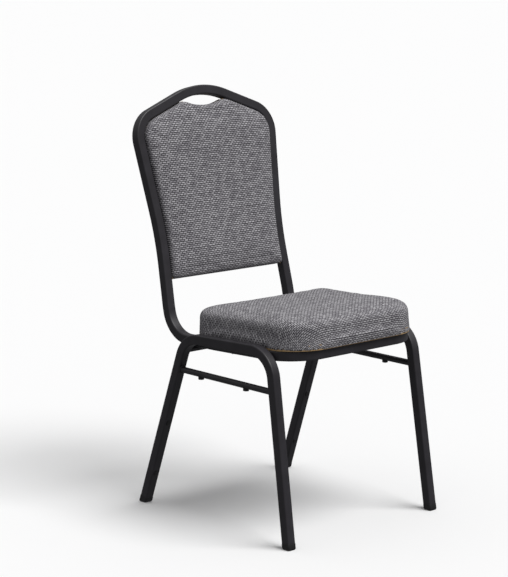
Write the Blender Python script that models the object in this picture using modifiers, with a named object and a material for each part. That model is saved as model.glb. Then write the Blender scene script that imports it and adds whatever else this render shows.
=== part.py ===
"""Stacking chair: a bent square-tube frame with an upholstered seat and back.

Metres, +Z up. The origin is on the floor under the middle of the chair, the sitter faces -Y
and the sitter's left is +X.
"""
import math

import bmesh
import bpy
from mathutils import Matrix, Vector

# Square steel tube of the whole frame
TUBE = 0.0222            # side of the square
TUBE_CORNER = 0.0032     # radius of its outer corners
TUBE_WALL = 0.0012
GAP = 0.0003             # air left between pieces that touch

# Side leg frames: each one tube, bent to an upside-down U and leaned inwards at the top
FOOT_SPREAD = 0.2250     # middle of the chair to the middle of a leg, at the floor
LEG_SPLAY = math.radians(1.0)
FRONT_FOOT_Y = -0.2784   # leg centre line at the floor
FRONT_RAKE = math.radians(8.83)
REAR_FOOT_Y = 0.2175
REAR_RAKE = math.radians(19.36)
LEG_BEND = 0.065         # centre-line radius of both bends
BAR_RISE = 0.0117        # leg frame's top bar above the seat rail, centre to centre

# Seat frame, lying in a plane that rises a little towards the front
SEAT_HEIGHT = 0.4073     # rail centre line at y = 0
SEAT_PITCH = math.radians(2.12)
SEAT_FRONT_Y = -0.2569   # centre line of the front rail
SEAT_CORNER = 0.080      # centre-line radius of the front corners
RAIL_JOINT_Y = -0.070    # butt joint between the back hoop and the front hoop
CROSSBAR_BACK = 0.0107   # crossbar behind the leg frames' rear corners

# Back hoop, in the plane of the back: rises are up its slope from the height of the seat rails,
# and widths are from the middle of the seat rail to the middle of the upright
BACK_LEAN = math.radians(12.48)
BACK_SEAT_Y = 0.1567     # back centre plane at the height of the seat rails
CROWN_RISE = 0.5731      # where the two shoulder lines would meet
CROWN_BEND = 0.200
SHOULDER_OUT = 0.0140
SHOULDER_RISE = 0.4936
SHOULDER_BEND = 0.064
WAIST_IN = 0.0150
WAIST_RISE = 0.2223
WAIST_BEND = 0.850
UPRIGHT_IN = 0.0075      # lowest part of the uprights
UPRIGHT_RISE = 0.0663
UPRIGHT_BEND = 0.300
REAR_BEND = 0.071        # upright into seat rail
FLARE_START_Y = 0.080    # the rails swing out to the leg frames between these two
FLARE_END_Y = 0.0
FLARE_BEND = 0.300

# Round bars: a stretcher in each leg frame and the crossbar under the seat
BAR = 0.0143
BAR_SIDES = 20
STRETCHER_DROP = 0.0678  # below the seat rails

# Plastic parts of the leg frames
BUMPER_YS = (-0.1320, 0.0195)
BUMPER = 0.0136          # diameter of a stacking bumper
BUMPER_DROP = 0.0048     # below the stretcher
BUMPER_HUG = 0.0040      # height it reaches up the side of the stretcher
BUMPER_EDGE = 0.0012
BUTTON_ZS = (0.079, 0.208)
BUTTON = 0.0130          # head diameter
BUTTON_HEAD = 0.0024
BUTTON_RIM = 0.0008      # straight edge under the dome
BUTTON_STEM = 0.0064
BUTTON_STEM_LONG = 0.0060
GLIDE_HEIGHT = 0.012     # visible height of a foot glide
GLIDE_CHAMFER = 0.0025   # height of the sloping edge round its sole
GLIDE_SOLE = 0.86        # sole's width over the cap's
GLIDE_PLUG = 0.020       # part inside the leg
GLIDE_LEAD = 0.90        # plug's tip over its full width
GLIDE_LEAD_LONG = 0.004
GLIDE_PROUD = 0.0004     # glide wider than the tube, each side

# Seat cushion, in the plane of the seat
CUSHION_SIDE_GAP = 0.0012    # to the leg frames' inner faces
CUSHION_OVERHANG = 0.0090    # in front of the front rail's face
CUSHION_REAR_Y = 0.0630
CUSHION_FRONT_CORNER = 0.092
CUSHION_REAR_CORNER = 0.030
SEAT_BOARD = 0.012
SEAT_FOAM = 0.054
CUSHION_ROUND = 0.018        # top edge
FABRIC = 0.0015
DUST_COVER = 0.0008
DUST_COVER_MARGIN = 0.006    # to the front rail, to the tabs and to the board's rear edge
DUST_COVER_FRONT_CORNER = 0.055
DUST_COVER_REAR_CORNER = 0.012
TAB_THICK = 0.003
TAB_WIDTH = 0.030
TAB_REACH = 0.024
SEAT_TAB_YS = (-0.160, -0.030)
SEAT_SCREW = 0.006
SEAT_SCREW_HEAD = 0.012
SEAT_SCREW_HEAD_HIGH = 0.0038
SCREW_RIM = 0.0010           # straight edge of a screw's head
SCREW_DOME = 0.72            # flat top of a screw's head over its width
SCREW_TIP = 0.0005           # chamfer at a screw's tip
SCREW_SHORT = 0.0010         # screw's tip below the board's far face
TNUT_BARREL = 0.0080
TNUT_FLANGE = 0.019
TNUT_FLANGE_HIGH = 0.0012
TNUT_HIGH = 0.0095

# Back pad and rear panel, in the plane of the back (n is out of it, towards the sitter)
PAD_SIDE_GAP = 0.0010        # to the hoop's inner side
PAD_BOTTOM_RISE = 0.1242
HAND_HOLE_RISE = 0.5233      # pad's top edge at the middle of the hand hole
HAND_HOLE_BEND = 0.160
HAND_HOLE_STEPS = 6          # straight steps in half of that edge
BACK_BOARD = 0.006
PAD_EDGE_PROUD = 0.0125      # pad's face in front of the hoop's face
PAD_ROUND = 0.010
REAR_BOARD = 0.004
REAR_BOARD_N = -0.0110       # rear face of the rear board
REAR_FOAM = 0.003
REAR_ROUND = 0.004
REAR_FABRIC = 0.0012
BACK_TAB_RISES = (0.1828, 0.3928)
BACK_TAB_REACH = 0.022
BACK_TAB_WIDTH = 0.024
BACK_SCREW = 0.004
BACK_SCREW_HEAD = 0.008
BACK_SCREW_HEAD_HIGH = 0.0026
CLIP_X = 0.095
CLIP_RISES = (0.1978, 0.4328)
CLIP_STEM = 0.0060
CLIP_COLLAR = 0.0120
CLIP_TIP = 0.60              # tip's width over the stem's
CLIP_TIP_LONG = 0.0035
CLIP_SHORT = 0.0010          # clip's ends below the boards' far faces
HOLE_PLAY = 0.0004           # a hole's radius over its pin's
DRILL = 0.060                # length of every drill, longer than what it goes through

CHORD_ERROR = 0.00035        # most that a bend's straight steps cut inside its arc

POWDER_COAT = (0.034, 0.032, 0.037)
BLACK_PLASTIC = (0.012, 0.012, 0.013)
TWEED = (0.150, 0.150, 0.155)
PLYWOOD = (0.520, 0.370, 0.220)
FOAM_CREAM = (0.760, 0.700, 0.520)
ZINC = (0.560, 0.570, 0.580)

# ---------------------------------------------------------------- scene, frames, materials

for old in list(bpy.data.objects):
    bpy.data.objects.remove(old)

CHAIR = bpy.data.collections.new("stacking_chair")
CUTTERS = bpy.data.collections.new("cutters")
for group in (CHAIR, CUTTERS):
    bpy.context.scene.collection.children.link(group)


def make_material(name, colour, roughness, metallic=0.0):
    """A Principled material of one colour."""
    material = bpy.data.materials.new(name)
    material.use_nodes = True
    shader = material.node_tree.nodes["Principled BSDF"]
    shader.inputs["Base Color"].default_value = (*colour, 1.0)
    shader.inputs["Roughness"].default_value = roughness
    shader.inputs["Metallic"].default_value = metallic
    return material


STEEL = make_material("black_powder_coat", POWDER_COAT, 0.45)
PLASTIC = make_material("black_plastic", BLACK_PLASTIC, 0.5)
FABRIC_GREY = make_material("grey_tweed", TWEED, 0.95)
PLY = make_material("plywood", PLYWOOD, 0.7)
FOAM = make_material("cut_foam", FOAM_CREAM, 0.9)
PLATED = make_material("zinc_plate", ZINC, 0.35, 1.0)
LINING = make_material("black_lining", BLACK_PLASTIC, 0.9)


def make_frame(name, origin, across, up):
    """An empty whose local X and Y run along the two given directions."""
    across = Vector(across).normalized()
    up = Vector(up).normalized()
    out = across.cross(up)
    matrix = Matrix((across, up, out)).transposed().to_4x4()
    matrix.translation = origin
    empty = bpy.data.objects.new(name, None)
    empty.matrix_world = matrix
    CHAIR.objects.link(empty)
    return empty


BACK_Y = BACK_SEAT_Y - SEAT_HEIGHT * math.tan(BACK_LEAN)     # back centre plane at the floor
BACK_BASE = SEAT_HEIGHT / math.cos(BACK_LEAN)                # way up the slope to the seat rails

# seat plane: local x across, local y backwards along the rails, local z out of the seat
SEAT = make_frame("seat_plane", (0, 0, SEAT_HEIGHT), (1, 0, 0),
                  (0, math.cos(SEAT_PITCH), -math.sin(SEAT_PITCH)))
# back plane: local x across, local y up the slope, local z towards the sitter
BACK = make_frame("back_plane", (0, BACK_Y, 0), (1, 0, 0),
                  (0, math.sin(BACK_LEAN), math.cos(BACK_LEAN)))
# leg frames: local x backwards, local y up the leaning plane
LEGS = {}
for side_name, side in (("left", 1), ("right", -1)):
    LEGS[side_name] = make_frame(side_name + "_leg_plane", (side * FOOT_SPREAD, 0, 0), (0, 1, 0),
                                 (-side * math.sin(LEG_SPLAY), 0, math.cos(LEG_SPLAY)))


def seat_rail_z(y):
    """Height of the seat rails' centre line at a place along the chair."""
    return SEAT_HEIGHT - math.tan(SEAT_PITCH) * y


def leg_x(z):
    """Distance of a leg's centre plane from the middle of the chair at a height."""
    return FOOT_SPREAD - math.tan(LEG_SPLAY) * z


# rails stand clear of the leg frames' inner faces where both are highest
RAIL_TOP_Z = seat_rail_z(SEAT_FRONT_Y) + TUBE / 2
BAR_TOP_Z = RAIL_TOP_Z + BAR_RISE
RAIL_X = leg_x(RAIL_TOP_Z) - TUBE - GAP
CUSHION_HALF = leg_x(BAR_TOP_Z) - TUBE / 2 - CUSHION_SIDE_GAP
UPRIGHT_X = RAIL_X - UPRIGHT_IN
STRETCHER_Z = SEAT_HEIGHT - STRETCHER_DROP

# ---------------------------------------------------------------- shape helpers


def add_piece(name, mesh, material, parent=None, location=(0, 0, 0)):
    """Put a mesh in the chair's collection as a named piece."""
    piece = bpy.data.objects.new(name, mesh)
    mesh.materials.clear()
    mesh.materials.append(material)
    piece.parent = parent
    piece.location = location
    CHAIR.objects.link(piece)
    return piece


def bent_path(corners, bends, inset=0.0):
    """Points along straight runs joined by arcs: bends holds each inner corner's radius.

    An outline drawn in by inset gets the same steps as the one round it, so that they nest.
    """
    corners = [Vector(corner).to_3d() for corner in corners]
    path = [corners[0]]
    for before, corner, after, bend in zip(corners, corners[1:], corners[2:], bends):
        into = (corner - before).normalized()
        out = (after - corner).normalized()
        turn = into.angle(out)
        start = corner - into * bend * math.tan(turn / 2)
        side = (out - into * out.dot(into)).normalized()
        centre = start + side * bend
        step = 2 * math.acos(1 - CHORD_ERROR / (bend + inset))
        count = max(2, math.ceil(turn / step))
        for k in range(count + 1):
            angle = turn * k / count
            path.append(centre + bend * (into * math.sin(angle) - side * math.cos(angle)))
    path.append(corners[-1])
    return path


def rounded_square(side, corner, steps=2):
    """Outline of the tube's section."""
    outline = []
    for k, (sx, sy) in enumerate(((1, 1), (-1, 1), (-1, -1), (1, -1))):
        for j in range(steps + 1):
            angle = math.pi / 2 * (k + j / steps)
            outline.append((sx * (side / 2 - corner) + corner * math.cos(angle),
                            sy * (side / 2 - corner) + corner * math.sin(angle)))
    return outline


def curve_from(name, outlines, closed):
    """A curve object of POLY splines."""
    curve = bpy.data.curves.new(name, "CURVE")
    curve.dimensions = "3D"
    curve.resolution_u = 1
    curve.render_resolution_u = 0
    for outline in outlines:
        spline = curve.splines.new("POLY")
        spline.points.add(len(outline) - 1)
        for point, place in zip(spline.points, outline):
            point.co = (*Vector(place).to_3d(), 1.0)
        spline.use_cyclic_u = closed
    return bpy.data.objects.new(name, curve)


def mesh_of(curve_object):
    """The evaluated mesh of a curve object, welded; the curve is removed."""
    bpy.context.view_layer.update()
    depsgraph = bpy.context.evaluated_depsgraph_get()
    mesh = bpy.data.meshes.new_from_object(curve_object.evaluated_get(depsgraph))
    shape = bmesh.new()
    shape.from_mesh(mesh)
    bmesh.ops.remove_doubles(shape, verts=shape.verts, dist=0.00001)
    shape.to_mesh(mesh)
    shape.free()
    bpy.data.objects.remove(curve_object)
    return mesh


TUBE_SECTION = curve_from("tube_section", [rounded_square(TUBE, TUBE_CORNER)[::-1]], True)
TUBE_SECTION.data.dimensions = "2D"
TUBE_SECTION.hide_render = True
TUBE_SECTION.display_type = "WIRE"
CUTTERS.objects.link(TUBE_SECTION)


def add_tube(name, path, parent):
    """A hollow square tube, bent along the path and open at both ends."""
    line = curve_from(name + "_line", [path], False)
    line.data.bevel_mode = "OBJECT"
    line.data.bevel_object = TUBE_SECTION
    line.data.use_fill_caps = False
    CHAIR.objects.link(line)
    mesh = mesh_of(line)
    mesh.name = name
    tube = add_piece(name, mesh, STEEL, parent)
    solidify = tube.modifiers.new("wall", "SOLIDIFY")
    solidify.thickness = TUBE_WALL
    solidify.offset = -1
    solidify.use_even_offset = True
    return tube


def add_turned(name, outline, material, parent, matrix, steps=12, ring=False):
    """A turned piece: (radius, height) points from top to bottom along its outer side.

    ring joins the last point to the first, for a piece with a bore.
    """
    mesh = bpy.data.meshes.new(name)
    edges = [(k, k + 1) for k in range(len(outline) - 1)]
    if ring:
        edges.append((len(outline) - 1, 0))
    mesh.from_pydata([(radius, 0, height) for radius, height in outline], edges, [])
    piece = add_piece(name, mesh, material, parent)
    piece.matrix_local = matrix
    screw = piece.modifiers.new("turn", "SCREW")
    screw.steps = steps
    screw.render_steps = steps
    screw.use_merge_vertices = True
    screw.merge_threshold = 0.00001
    return piece


def add_cutter(name, mesh, parent=None, matrix=None):
    """A hidden wire-frame shape that cuts another."""
    cutter = bpy.data.objects.new(name, mesh)
    cutter.parent = parent
    if matrix is not None:
        cutter.matrix_local = matrix
    cutter.hide_render = True
    cutter.display_type = "WIRE"
    CUTTERS.objects.link(cutter)
    return cutter


def cylinder_mesh(name, radius, length, sides=12):
    """A closed cylinder along Z, centred on the origin."""
    mesh = bpy.data.meshes.new(name)
    shape = bmesh.new()
    bmesh.ops.create_cone(shape, cap_ends=True, segments=sides, radius1=radius, radius2=radius,
                          depth=length)
    shape.to_mesh(mesh)
    shape.free()
    return mesh


def box_mesh(name, size, bevel=0.0):
    """A closed box centred on the origin, its edges cut back by bevel."""
    mesh = bpy.data.meshes.new(name)
    shape = bmesh.new()
    bmesh.ops.create_cube(shape, size=1.0)
    bmesh.ops.scale(shape, vec=size, verts=shape.verts)
    if bevel:
        bmesh.ops.bevel(shape, geom=shape.edges, offset=bevel, segments=2, profile=0.5,
                        affect="EDGES")
    shape.to_mesh(mesh)
    shape.free()
    return mesh


def cut(piece, cutter):
    """Take the cutter's shape out of the piece."""
    difference = piece.modifiers.new(cutter.name, "BOOLEAN")
    difference.operation = "DIFFERENCE"
    difference.solver = "EXACT"
    difference.object = cutter


def add_slab(name, outline, low, high, material, parent, top_round=0.0, shell=0.0):
    """A flat piece of the given outline between two heights, its top edge rounded.

    With shell it is only a skin of that thickness, open underneath.
    """
    mesh = bpy.data.meshes.new(name)
    shape = bmesh.new()
    weight = shape.edges.layers.float.new("bevel_weight_edge")
    base = shape.faces.new([shape.verts.new((x, y, low)) for x, y in outline])
    top = bmesh.ops.extrude_face_region(shape, geom=[base])
    lifted = [item for item in top["geom"] if isinstance(item, bmesh.types.BMVert)]
    bmesh.ops.translate(shape, vec=(0, 0, high - low), verts=lifted)
    for edge in {edge for vert in lifted for edge in vert.link_edges}:
        if all(vert in lifted for vert in edge.verts):
            edge[weight] = 1.0
    bmesh.ops.recalc_face_normals(shape, faces=shape.faces)
    if shell:
        bottom = [face for face in shape.faces if all(abs(v.co.z - low) < GAP / 3 for v in face.verts)]
        bmesh.ops.delete(shape, geom=bottom, context="FACES_ONLY")
    shape.to_mesh(mesh)
    shape.free()
    slab = add_piece(name, mesh, material, parent)
    if top_round:
        bevel = slab.modifiers.new("rounded_top", "BEVEL")
        bevel.limit_method = "WEIGHT"
        bevel.width = top_round
        bevel.segments = 2
        bevel.use_clamp_overlap = False
    if shell:
        solidify = slab.modifiers.new("skin", "SOLIDIFY")
        solidify.thickness = shell
        solidify.offset = -1
        solidify.use_even_offset = True
    return slab


# ---------------------------------------------------------------- frame tubes


def leg_corners():
    """Corners of a leg frame's centre line, in its own plane (y, height)."""
    lean = 1 / math.cos(LEG_SPLAY)

    def bar(y):
        return (seat_rail_z(y) + BAR_RISE) * lean

    def meet(foot_y, slope):
        height = bar(foot_y) / (1 + math.tan(SEAT_PITCH) * slope)
        return foot_y + slope * height, height

    front = meet(FRONT_FOOT_Y, math.tan(FRONT_RAKE))
    rear = meet(REAR_FOOT_Y, -math.tan(REAR_RAKE))
    return (FRONT_FOOT_Y, 0.0), front, rear, (REAR_FOOT_Y, 0.0)


def leg_end(foot, knee):
    """Where the tube stops above the floor, and the direction up the leg."""
    foot = Vector(foot).to_3d()
    up = (Vector(knee).to_3d() - foot).normalized()
    slack = TUBE / 2 * math.tan(math.acos(up.y))   # the glide stays whole on its short side
    return foot + up * (GLIDE_HEIGHT + slack), up


FRONT_FOOT, FRONT_KNEE, REAR_KNEE, REAR_FOOT = leg_corners()
LEG_ENDS = {"front": leg_end(FRONT_FOOT, FRONT_KNEE), "rear": leg_end(REAR_FOOT, REAR_KNEE)}


def front_leg_y(height):
    """Centre line of the front legs."""
    return FRONT_FOOT_Y + math.tan(FRONT_RAKE) * height


def rear_leg_y(height):
    """Centre line of the rear legs."""
    return REAR_FOOT_Y - math.tan(REAR_RAKE) * height


def button_matrix(height):
    """Place of a button on a rear leg's front face, its own Z pointing out of the face."""
    out = Vector((-math.cos(REAR_RAKE), -math.sin(REAR_RAKE), 0))
    along = Vector((0, 0, 1))
    place = Vector((rear_leg_y(height), height, 0)) + out * TUBE / 2
    matrix = Matrix((along, out.cross(along), out)).transposed().to_4x4()
    matrix.translation = place
    return matrix


def add_leg_frames():
    """Leg frames with the holes that the buttons push into."""
    for name, plane in LEGS.items():
        path = bent_path([LEG_ENDS["front"][0], FRONT_KNEE, REAR_KNEE, LEG_ENDS["rear"][0]],
                         [LEG_BEND, LEG_BEND])
        frame = add_tube(name + "_leg_frame", path, plane)
        for level, height in zip(("lower", "upper"), BUTTON_ZS):
            hole = cylinder_mesh("hole", BUTTON_STEM / 2 + HOLE_PLAY, TUBE_WALL * 4)
            cut(frame, add_cutter(f"{name}_{level}_button_hole", hole, plane, button_matrix(height)))


def add_stretchers():
    """Thin round bars between the legs, their ends mitred to the raked leg faces."""
    half = TUBE / 2
    for name, plane in LEGS.items():
        mesh = cylinder_mesh(name + "_stretcher", BAR / 2, 1.0, BAR_SIDES)
        mesh.transform(Matrix.Rotation(math.pi / 2, 4, "Y"))
        mesh.transform(Matrix.Translation((0, STRETCHER_Z, 0)))
        for vert in mesh.vertices:
            if vert.co.x > 0:
                vert.co.x = rear_leg_y(vert.co.y) - (half + GAP) / math.cos(REAR_RAKE)
            else:
                vert.co.x = front_leg_y(vert.co.y) + (half + GAP) / math.cos(FRONT_RAKE)
        add_piece(name + "_stretcher", mesh, STEEL, plane)


def back_corners():
    """Corners of one half of the back hoop in the back plane, from the seat up to the crown."""
    return [(UPRIGHT_X, BACK_BASE + UPRIGHT_RISE), (RAIL_X - WAIST_IN, BACK_BASE + WAIST_RISE),
            (RAIL_X + SHOULDER_OUT, BACK_BASE + SHOULDER_RISE), (0, BACK_BASE + CROWN_RISE)]


def seat_to_back(x, y):
    """A point of the seat rails' centre plane, in the back plane's coordinates."""
    matrix = BACK.matrix_world.inverted()
    return matrix @ Vector((x, y, seat_rail_z(y)))


def add_back_hoop():
    """One tube: seat rail, rear bend, upright, shoulder, crown and back down the other side."""
    half = [seat_to_back(RAIL_X, RAIL_JOINT_Y + GAP / 2),
            seat_to_back(RAIL_X, FLARE_END_Y),
            seat_to_back(UPRIGHT_X, FLARE_START_Y)]
    # rear corner: where the rail's line meets the back plane
    start = half[-1]
    ahead = seat_to_back(UPRIGHT_X, FLARE_START_Y + 0.1)
    knee = start + (ahead - start) * start.z / (start.z - ahead.z)
    half.append(knee)
    half += [Vector(corner).to_3d() for corner in back_corners()]
    bends = [FLARE_BEND, FLARE_BEND, REAR_BEND, UPRIGHT_BEND, WAIST_BEND, SHOULDER_BEND]
    mirrored = [Vector((-point.x, point.y, point.z)) for point in half[-2::-1]]
    path = bent_path(half + mirrored, bends + [CROWN_BEND] + bends[::-1])
    add_tube("back_hoop", path, BACK)


def add_front_hoop():
    """Front rail with its two rounded corners, butted to the rails of the back hoop."""
    joint = (RAIL_JOINT_Y - GAP / 2) / math.cos(SEAT_PITCH)
    front = SEAT_FRONT_Y / math.cos(SEAT_PITCH)
    path = bent_path([(-RAIL_X, joint), (-RAIL_X, front), (RAIL_X, front), (RAIL_X, joint)],
                     [SEAT_CORNER, SEAT_CORNER])
    add_tube("seat_front_hoop", path, SEAT)


def add_crossbar():
    """Round bar under the seat rails, from one leg frame's rear bend to the other's."""
    y = REAR_KNEE[0] + CROSSBAR_BACK
    under_rails = seat_rail_z(y + BAR / 2) - TUBE / 2 / math.cos(SEAT_PITCH) - GAP
    height = under_rails - BAR / 2
    mesh = cylinder_mesh("rear_crossbar", BAR / 2, 1.0, BAR_SIDES)
    mesh.transform(Matrix.Rotation(math.pi / 2, 4, "Y"))
    mesh.transform(Matrix.Translation((0, y, height)))
    reach = leg_x(height + BAR / 2) - TUBE / 2 / math.cos(LEG_SPLAY) - GAP
    for vert in mesh.vertices:
        vert.co.x = math.copysign(reach, vert.co.x)
    add_piece("rear_crossbar", mesh, STEEL)


# ---------------------------------------------------------------- plastic parts


def ring_across(outline, start, axes):
    """The outline laid square to the leg at a point of its centre line."""
    return [start + axes[0] * a + axes[1] * b for a, b in outline]


def ring_on_plane(outline, start, axes, direction, height):
    """The outline carried along a direction until it meets a level plane."""
    return [point + direction * (height - point.z) / direction.z
            for point in ring_across(outline, start, axes)]


def scaled(outline, factor):
    """An outline shrunk towards its middle."""
    return [(a * factor, b * factor) for a, b in outline]


def add_glides():
    """Foot glides: a plug inside the raked leg and a cap that ends level on the floor."""
    for name, plane in LEGS.items():
        for place, (end, up) in LEG_ENDS.items():
            matrix = plane.matrix_world
            start = matrix @ (end - up * GAP)
            axis = (matrix.to_3x3() @ up).normalized()
            across = (matrix.to_3x3() @ Vector((0, 0, 1))).normalized()
            axes = (across, axis.cross(across))
            cap = rounded_square(TUBE + 2 * GLIDE_PROUD, TUBE_CORNER)
            plug_side = TUBE - 2 * TUBE_WALL - 4 * GAP
            plug = rounded_square(plug_side, TUBE_CORNER / 2)
            tip = start + axis * GLIDE_PLUG
            rings = [
                ring_across(scaled(plug, GLIDE_LEAD), tip, axes),
                ring_across(plug, tip - axis * GLIDE_LEAD_LONG, axes),
                ring_across(plug, start, axes),
                ring_across(cap, start, axes),
                ring_on_plane(cap, start, axes, axis, GLIDE_CHAMFER),
                ring_on_plane(scaled(cap, GLIDE_SOLE), start, axes, axis, 0.0),
            ]
            add_loft(f"{name}_{place}_glide", rings, PLASTIC)


def add_loft(name, rings, material):
    """A closed body through rings of equal length, capped at both ends."""
    shape = bmesh.new()
    loops = [[shape.verts.new(point) for point in ring] for ring in rings]
    for upper, lower in zip(loops, loops[1:]):
        for k in range(len(upper)):
            j = (k + 1) % len(upper)
            shape.faces.new((upper[k], upper[j], lower[j], lower[k]))
    shape.faces.new(loops[0])
    shape.faces.new(loops[-1])
    bmesh.ops.recalc_face_normals(shape, faces=shape.faces)
    mesh = bpy.data.meshes.new(name)
    shape.to_mesh(mesh)
    shape.free()
    return add_piece(name, mesh, material)


def add_bumpers():
    """Round pads under the stretchers, on which a stacked chair rests on the one below."""
    radius = BUMPER / 2
    low = -BAR / 2 - BUMPER_DROP
    outline = [(0, BUMPER_HUG - BAR / 2), (radius, BUMPER_HUG - BAR / 2),
               (radius, low + BUMPER_EDGE), (radius - BUMPER_EDGE, low), (0, low)]
    stand = Matrix.Rotation(-math.pi / 2, 4, "X")
    for name, plane in LEGS.items():
        for place, y in zip(("front", "rear"), BUMPER_YS):
            middle = Matrix.Translation((y, STRETCHER_Z, 0))
            bumper = add_turned(f"{name}_{place}_bumper", outline, PLASTIC, plane, middle @ stand)
            bar = cylinder_mesh("bar", BAR / 2 + GAP, BUMPER * 2, BAR_SIDES)
            bar.transform(Matrix.Rotation(math.pi / 2, 4, "Y"))
            cut(bumper, add_cutter(f"{name}_{place}_groove", bar, plane, middle))


def add_buttons():
    """Domed push-in buttons on the front faces of the rear legs."""
    head = BUTTON / 2
    stem = BUTTON_STEM / 2
    rise = BUTTON_HEAD - BUTTON_RIM
    dome = [(head * math.sin(k * math.pi / 8), GAP + BUTTON_RIM + rise * math.cos(k * math.pi / 8))
            for k in range(4)]
    outline = dome + [(head, GAP + BUTTON_RIM), (head, GAP), (stem, GAP), (stem, -BUTTON_STEM_LONG),
                      (0, -BUTTON_STEM_LONG - stem / 2)]
    for name, plane in LEGS.items():
        for level, height in zip(("lower", "upper"), BUTTON_ZS):
            add_turned(f"{name}_{level}_button", outline, PLASTIC, plane, button_matrix(height))


# ---------------------------------------------------------------- seat


def seat_outline(inset):
    """Cushion outline in the seat plane, drawn in by inset: round front corners, small rear ones."""
    half = CUSHION_HALF - inset
    front = SEAT_FRONT_Y - TUBE / 2 - CUSHION_OVERHANG + inset
    rear = CUSHION_REAR_Y - inset
    front_round = CUSHION_FRONT_CORNER - inset
    rear_round = CUSHION_REAR_CORNER - inset
    corners = [(0, front), (half, front), (half, rear), (-half, rear), (-half, front), (0, front)]
    path = bent_path(corners, [front_round, rear_round, rear_round, front_round], inset)
    return [(point.x, point.y) for point in path[:-1]]


BOARD_LOW = TUBE / 2 + GAP
BOARD_TOP = BOARD_LOW + SEAT_BOARD
FOAM_TOP = BOARD_TOP + GAP + SEAT_FOAM
SEAT_TAB_X = RAIL_X - TUBE / 2 - GAP - TAB_REACH / 2


def seat_fixings():
    """Name and place of each seat tab, with the screw through its middle."""
    for side_name, side in (("left", 1), ("right", -1)):
        for place, y in zip(("front", "rear"), SEAT_TAB_YS):
            yield f"{side_name}_{place}", side * SEAT_TAB_X, y


def screw_outline(shank, head, tip, seat, low):
    """Profile of a pan-head screw, from its tip down to its head, which starts at seat."""
    return [(0, tip), (shank - SCREW_TIP, tip), (shank, tip - SCREW_TIP), (shank, seat), (head, seat),
            (head, seat - SCREW_RIM), (head * SCREW_DOME, low), (0, low)]


def add_seat_fixings():
    """Welded tabs, the screws that come up through them, and the T-nuts in the board."""
    shank = SEAT_SCREW / 2
    head = SEAT_SCREW_HEAD / 2
    tab_low = TUBE / 2 - TAB_THICK
    seat = tab_low - GAP
    screw = screw_outline(shank, head, BOARD_TOP - SCREW_SHORT, seat, seat - SEAT_SCREW_HEAD_HIGH)
    bore = shank + GAP
    flange_top = BOARD_TOP - GAP
    flange_low = flange_top - TNUT_FLANGE_HIGH
    nut = [(bore, flange_top), (TNUT_FLANGE / 2, flange_top), (TNUT_FLANGE / 2, flange_low),
           (TNUT_BARREL / 2, flange_low), (TNUT_BARREL / 2, flange_top - TNUT_HIGH),
           (bore, flange_top - TNUT_HIGH)]
    for name, x, y in seat_fixings():
        mesh = box_mesh("tab", (TAB_REACH, TAB_WIDTH, TAB_THICK))
        tab = add_piece(name + "_seat_tab", mesh, STEEL, SEAT, (x, y, TUBE / 2 - TAB_THICK / 2))
        place = Matrix.Translation((x, y, 0))
        drill = cylinder_mesh("drill", shank + HOLE_PLAY, DRILL)
        cut(tab, add_cutter(name + "_tab_hole", drill, SEAT, place))
        add_turned(name + "_seat_screw", screw, PLATED, SEAT, place)
        add_turned(name + "_tee_nut", nut, PLATED, SEAT, place, ring=True)


def add_seat():
    """Board, foam, fabric skin and lining of the seat, in the plane of the seat."""
    inner = FABRIC + GAP
    board = add_slab("seat_board", seat_outline(inner), BOARD_LOW, BOARD_TOP, PLY, SEAT)
    recess = TNUT_FLANGE_HIGH + 2 * GAP
    for name, x, y in seat_fixings():
        drill = cylinder_mesh("drill", TNUT_BARREL / 2 + HOLE_PLAY, DRILL)
        low = Matrix.Translation((x, y, BOARD_LOW))
        cut(board, add_cutter(name + "_board_hole", drill, SEAT, low))
        pocket = cylinder_mesh("pocket", TNUT_FLANGE / 2 + HOLE_PLAY, recess * 2)
        high = Matrix.Translation((x, y, BOARD_TOP))
        cut(board, add_cutter(name + "_board_pocket", pocket, SEAT, high))
    add_slab("seat_foam", seat_outline(inner), BOARD_TOP + GAP, FOAM_TOP, FOAM, SEAT,
             CUSHION_ROUND - inner)
    add_slab("seat_cover", seat_outline(0), BOARD_LOW, FOAM_TOP + inner, FABRIC_GREY, SEAT,
             CUSHION_ROUND, FABRIC)
    half = SEAT_TAB_X - TAB_REACH / 2 - DUST_COVER_MARGIN
    front = SEAT_FRONT_Y + TUBE / 2 + DUST_COVER_MARGIN
    rear = CUSHION_REAR_Y - inner - DUST_COVER_MARGIN
    lining = bent_path([(0, front), (half, front), (half, rear), (-half, rear), (-half, front),
                        (0, front)], [DUST_COVER_FRONT_CORNER, DUST_COVER_REAR_CORNER,
                                      DUST_COVER_REAR_CORNER, DUST_COVER_FRONT_CORNER])
    add_slab("seat_dust_cover", [(point.x, point.y) for point in lining[:-1]],
             BOARD_LOW - GAP - DUST_COVER, BOARD_LOW - GAP, LINING, SEAT)


# ---------------------------------------------------------------- back


def hoop_half():
    """Half of the hoop's centre line in the back plane, from below the pad to the crown's top."""
    upright, waist, shoulder, crown = back_corners()
    far_shoulder = (-shoulder[0], shoulder[1])
    path = bent_path([upright, waist, shoulder, crown, far_shoulder],
                     [WAIST_BEND, SHOULDER_BEND, CROWN_BEND])
    return [point for point in path if point.x >= -GAP]


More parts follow.
